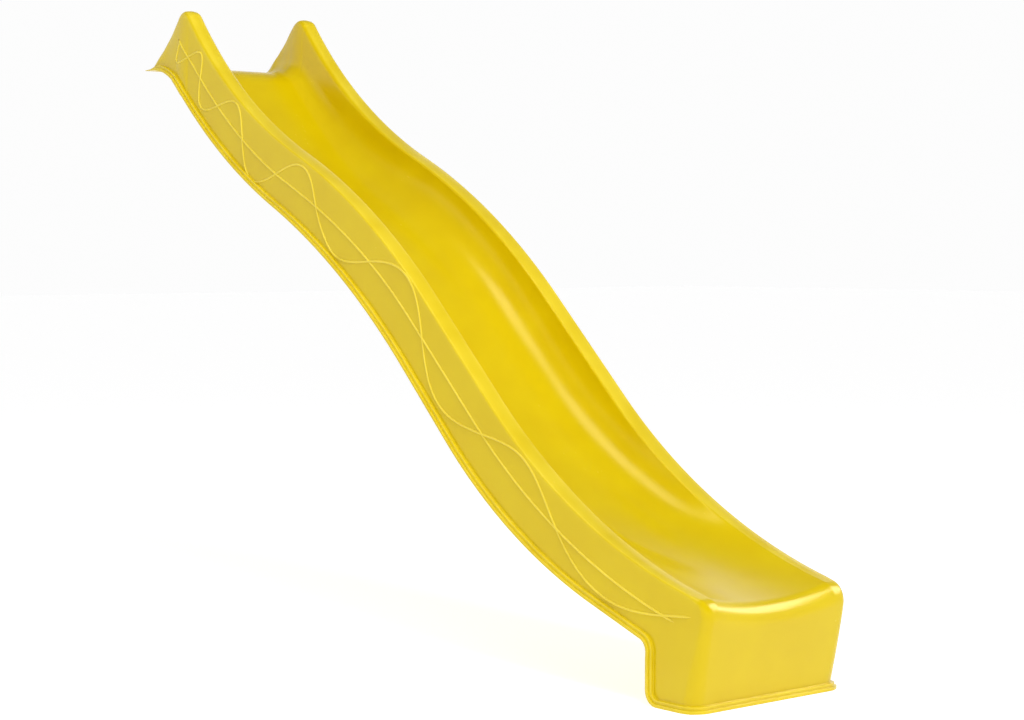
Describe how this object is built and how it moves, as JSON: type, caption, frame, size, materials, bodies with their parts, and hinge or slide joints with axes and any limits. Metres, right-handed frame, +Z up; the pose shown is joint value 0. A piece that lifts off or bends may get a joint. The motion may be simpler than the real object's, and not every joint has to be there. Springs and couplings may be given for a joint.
{
  "type": "wave slide",
  "caption": "Yellow one-piece wavy play slide with raised head humps, side rails and a box foot, screwed to the deck of a play tower.",
  "frame": {"origin": "centre of the underside of the head flange, on the deck surface, at the middle screw", "axes": "+X runs downhill from the head to the exit, +Y is to the left of someone sliding down, +Z is up"},
  "size_m": [2.2754, 0.464, 1.6519],
  "materials": {
    "yellow_polyethylene": "satin to gloss, smooth",
    "stainless_steel": "bright"
  },
  "bodies": {
    "root": {"slide_moulding": "yellow_polyethylene", "head_screw_left": "stainless_steel", "head_screw_centre": "stainless_steel", "head_screw_right": "stainless_steel", "head_washer_left": "stainless_steel", "head_washer_centre": "stainless_steel", "head_washer_right": "stainless_steel"}
  },
  "joints": []
}
